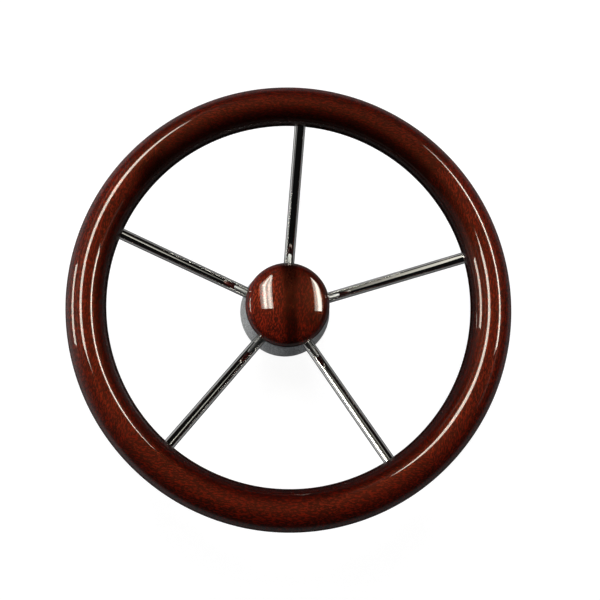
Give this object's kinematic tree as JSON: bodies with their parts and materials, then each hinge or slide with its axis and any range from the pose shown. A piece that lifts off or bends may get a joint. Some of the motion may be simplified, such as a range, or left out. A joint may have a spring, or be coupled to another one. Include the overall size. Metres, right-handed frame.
{
  "type": "boat steering wheel",
  "caption": "Deep-dished boat steering wheel: round mahogany rim on straight polished rods, with a satin metal hub and a domed wooden cap over the shaft nut.",
  "frame": {"origin": "on the shaft axis, at the hub's flat rear face", "axes": "+Z along the shaft axis towards the helmsman; +Y along the first spoke"},
  "size_m": [0.4, 0.4, 0.124],
  "materials": {
    "mahogany": "gloss varnished red-brown mahogany",
    "hardwood": "plain sawn hardwood, glued in",
    "polished_stainless": "mirror-polished stainless steel",
    "stainless_screw": "plain stainless steel",
    "machined_stainless": "turned stainless steel",
    "satin_aluminium": "satin bead-blasted casting, machined rear face",
    "black_nylon": "turned nylon",
    "rubber": "smooth"
  },
  "bodies": {
    "wheel": {"rim_segment_1": "mahogany", "rim_segment_2": "mahogany", "rim_segment_3": "mahogany", "rim_segment_4": "mahogany", "rim_tongue_1": "hardwood", "rim_tongue_2": "hardwood", "rim_tongue_3": "hardwood", "rim_tongue_4": "hardwood", "spoke_1": "polished_stainless", "spoke_2": "polished_stainless", "spoke_3": "polished_stainless", "spoke_4": "polished_stainless", "spoke_5": "polished_stainless", "spoke_set_screw_1": "stainless_screw", "spoke_set_screw_2": "stainless_screw", "spoke_set_screw_3": "stainless_screw", "spoke_set_screw_4": "stainless_screw", "spoke_set_screw_5": "stainless_screw", "hub_body": "satin_aluminium", "hub_core": "machined_stainless"},
    "cap_set": {"cap": "mahogany", "cap_plug": "black_nylon", "cap_seal_ring": "rubber", "cap_screw_1": "stainless_screw", "cap_screw_2": "stainless_screw", "cap_screw_3": "stainless_screw"}
  },
  "joints": [
    {"name": "cap_lift", "type": "slide", "parent": "wheel", "child": "cap_set", "axis": [0, 0, 1], "range_m": [0, 0.03]}
  ]
}
